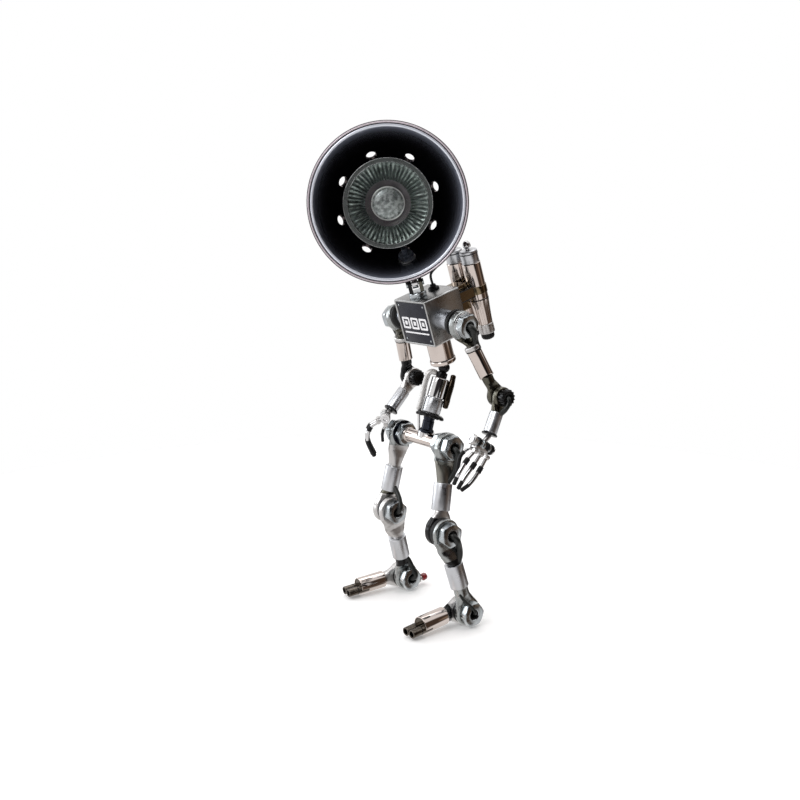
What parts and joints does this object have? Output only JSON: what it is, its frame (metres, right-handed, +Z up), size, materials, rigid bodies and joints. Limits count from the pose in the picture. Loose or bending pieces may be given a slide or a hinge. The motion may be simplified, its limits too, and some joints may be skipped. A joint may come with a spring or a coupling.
{
  "type": "humanoid robot desk lamp figure",
  "caption": "Posable metal robot figure with a reflector spotlight for a head, a box torso with twin tanks, rod-end jointed arms and legs and a press switch at one heel.",
  "frame": {"origin": "centre of the footprint of the whole figure, on the surface it stands on", "axes": "+Z up; the figure walks and looks roughly along -Y with its own left side at +X; the lamp head is turned towards +X"},
  "size_m": [0.1176, 0.112, 0.2912],
  "materials": {
    "chrome": "bright polished chrome plating",
    "zinc_steel": "zinc plated steel, slightly dull",
    "satin_aluminium": "satin turned sleeves, cool grey",
    "satin_box": "brushed sheet housing",
    "black_oxide": "black, half gloss",
    "gunmetal": "dark bronze grey, polished",
    "plate": "black plate, half gloss, with plain outline marks",
    "shade_black": "gloss black lamp shade with a bright rim",
    "lamp_glass": "clear front over a fluted mirror reflector",
    "ceramic_body": "off-white insulating body",
    "rubber": "black rubber",
    "red_button": "dark red"
  },
  "bodies": {
    "pelvis": {"pelvis_tube": "chrome", "waist_stem": "black_oxide", "waist_cylinder": "chrome", "waist_hose_front": "zinc_steel", "waist_hose_rear": "black_oxide", "hip_bolt_left": "zinc_steel", "hip_bolt_right": "zinc_steel"},
    "torso": {"torso_housing": "satin_box", "chest_plate": "plate", "terminal_block": "ceramic_body", "cable_grommet": "rubber", "upper_waist_tube": "chrome", "power_inlet": "black_oxide", "tank_left": "chrome", "tank_right": "chrome", "tank_bracket": "gunmetal", "shoulder_bolt_left": "zinc_steel", "shoulder_bolt_right": "zinc_steel"},
    "thigh_left": {"thigh_rod_end_left": "zinc_steel", "thigh_sleeve_left": "satin_aluminium", "knee_bolt_left": "zinc_steel"},
    "shin_left": {"shin_rod_end_left": "zinc_steel", "shin_sleeve_left": "satin_aluminium", "ankle_bolt_left": "zinc_steel"},
    "foot_left": {"foot_left": "chrome", "toes_left": "gunmetal"},
    "thigh_right": {"thigh_rod_end_right": "zinc_steel", "thigh_sleeve_right": "satin_aluminium", "knee_bolt_right": "zinc_steel"},
    "shin_right": {"shin_rod_end_right": "zinc_steel", "shin_sleeve_right": "satin_aluminium", "ankle_bolt_right": "zinc_steel"},
    "foot_right": {"foot_right": "chrome", "toes_right": "gunmetal"},
    "button": {"power_button": "red_button"},
    "upper_arm_left": {"upper_arm_rod_end_left": "zinc_steel", "upper_arm_tube_left": "chrome", "elbow_knob_left": "black_oxide"},
    "forearm_left": {"forearm_left": "satin_aluminium"},
    "hand_left": {"palm_left": "zinc_steel"},
    "digit_thumb_left": {"thumb_left": "gunmetal"},
    "digit_finger_1_left": {"finger_1_left": "chrome"},
    "digit_finger_2_left": {"finger_2_left": "chrome"},
    "digit_finger_3_left": {"finger_3_left": "chrome"},
    "upper_arm_right": {"upper_arm_rod_end_right": "zinc_steel", "upper_arm_tube_right": "chrome", "elbow_knob_right": "black_oxide"},
    "forearm_right": {"forearm_right": "satin_aluminium"},
    "hand_right": {"palm_right": "zinc_steel"},
    "digit_thumb_right": {"thumb_right": "gunmetal"},
    "digit_finger_1_right": {"finger_1_right": "chrome"},
    "digit_finger_2_right": {"finger_2_right": "chrome"},
    "digit_finger_3_right": {"finger_3_right": "chrome"},
    "head": {"lamp_shade": "shade_black", "head_bracket": "chrome", "rear_housing": "satin_aluminium", "lamp_holder": "ceramic_body", "reflector_lamp": "lamp_glass"},
    "neck": {"head_cable": "rubber", "neck_yoke": "zinc_steel"}
  },
  "joints": [
    {"name": "waist_pitch", "type": "hinge", "parent": "pelvis", "child": "torso", "pos_m": [0.00606, 0.02266, 0.14792], "axis": [0.999, 0.0454, 0], "range_deg": [-25, 2]},
    {"name": "neck_pan", "type": "hinge", "parent": "torso", "child": "neck", "pos_m": [0.00711, 0.00281, 0.19171], "axis": [0.014, -0.3087, 0.9511], "range_deg": [-20, 40], "deforming": ["head_cable"]},
    {"name": "head_tilt", "type": "hinge", "parent": "neck", "child": "head", "pos_m": [0.00723, 0.00028, 0.19951], "axis": [0.5751, 0.7806, 0.2449], "range_deg": [-11, 15], "deforming": ["head_cable"]},
    {"name": "shoulder_left", "type": "hinge", "parent": "torso", "child": "upper_arm_left", "pos_m": [0.03675, 0.01158, 0.1773], "axis": [0.9873, 0.0879, -0.1324], "range_deg": [-90, 20]},
    {"name": "elbow_left", "type": "hinge", "parent": "upper_arm_left", "child": "forearm_left", "pos_m": [0.05277, 0.02895, 0.13589], "axis": [1, 0, 0], "range_deg": [-60, 35]},
    {"name": "wrist_left", "type": "hinge", "parent": "forearm_left", "child": "hand_left", "pos_m": [0.05427, 0.01885, 0.11569], "axis": [0.0663, -0.4462, -0.8925], "range_deg": [-60, 60]},
    {"name": "thumb_left_curl", "type": "hinge", "parent": "hand_left", "child": "digit_thumb_left", "pos_m": [0.05088, 0.00793, 0.10907], "axis": [0, -0.8567, 0.5158], "range_deg": [-15, 12]},
    {"name": "finger_1_left_curl", "type": "hinge", "parent": "hand_left", "child": "digit_finger_1_left", "pos_m": [0.05441, 0.00839, 0.10756], "axis": [0, -0.8567, 0.5158], "range_deg": [-15, 20]},
    {"name": "finger_2_left_curl", "type": "hinge", "parent": "hand_left", "child": "digit_finger_2_left", "pos_m": [0.05466, 0.01231, 0.10523], "axis": [0, -0.8567, 0.5158], "range_deg": [-15, 20]},
    {"name": "finger_3_left_curl", "type": "hinge", "parent": "hand_left", "child": "digit_finger_3_left", "pos_m": [0.05479, 0.01647, 0.10276], "axis": [0, -0.8567, 0.5158], "range_deg": [-15, 20]},
    {"name": "hip_left", "type": "hinge", "parent": "pelvis", "child": "thigh_left", "pos_m": [0.02527, 0.01055, 0.10459], "axis": [1, 0, 0], "range_deg": [-20, 30]},
    {"name": "knee_left", "type": "hinge", "parent": "thigh_left", "child": "shin_left", "pos_m": [0.03207, -0.00045, 0.05699], "axis": [1, 0, 0], "range_deg": [-28, 75]},
    {"name": "ankle_left", "type": "hinge", "parent": "shin_left", "child": "foot_left", "pos_m": [0.04217, 0.01295, 0.00799], "axis": [1, 0, 0], "range_deg": [-25, 35]},
    {"name": "shoulder_right", "type": "hinge", "parent": "torso", "child": "upper_arm_right", "pos_m": [-0.02319, 0.00886, 0.1773], "axis": [0.9912, 0.002, 0.1324], "range_deg": [-80, 0]},
    {"name": "elbow_right", "type": "hinge", "parent": "upper_arm_right", "child": "forearm_right", "pos_m": [-0.02863, 0.02445, 0.13759], "axis": [1, 0, 0], "range_deg": [-60, 0]},
    {"name": "wrist_right", "type": "hinge", "parent": "forearm_right", "child": "hand_right", "pos_m": [-0.02833, 0.00695, 0.11829], "axis": [0.0115, -0.6717, -0.7408], "range_deg": [-30, 4]},
    {"name": "thumb_right_curl", "type": "hinge", "parent": "hand_right", "child": "digit_thumb_right", "pos_m": [-0.02676, 0.00198, 0.10965], "axis": [0.8319, -0.5549, 0], "range_deg": [-15, 2]},
    {"name": "finger_1_right_curl", "type": "hinge", "parent": "hand_right", "child": "digit_finger_1_right", "pos_m": [-0.02656, -0.00368, 0.1122], "axis": [0.8319, -0.5549, 0], "range_deg": [-15, 20]},
    {"name": "finger_2_right_curl", "type": "hinge", "parent": "hand_right", "child": "digit_finger_2_right", "pos_m": [-0.03024, -0.00144, 0.11256], "axis": [0.8319, -0.5549, 0], "range_deg": [-15, 12]},
    {"name": "finger_3_right_curl", "type": "hinge", "parent": "hand_right", "child": "digit_finger_3_right", "pos_m": [-0.03397, 0.00126, 0.1122], "axis": [0.8319, -0.5549, 0], "range_deg": [-15, 12]},
    {"name": "hip_right", "type": "hinge", "parent": "pelvis", "child": "thigh_right", "pos_m": [-0.02223, 0.01055, 0.10459], "axis": [1, 0, 0], "range_deg": [-20, 30]},
    {"name": "knee_right", "type": "hinge", "parent": "thigh_right", "child": "shin_right", "pos_m": [-0.02563, 0.00095, 0.05639], "axis": [1, 0, 0], "range_deg": [-28, 75]},
    {"name": "ankle_right", "type": "hinge", "parent": "shin_right", "child": "foot_right", "pos_m": [-0.02653, 0.01675, 0.00799], "axis": [1, 0, 0], "range_deg": [-25, 35]},
    {"name": "button_press", "type": "slide", "parent": "shin_right", "child": "button", "axis": [0, -0.9781, -0.2079], "range_m": [0, 0.0015], "stiffness_N_per_m": 250, "springref_m": -0.0004}
  ]
}
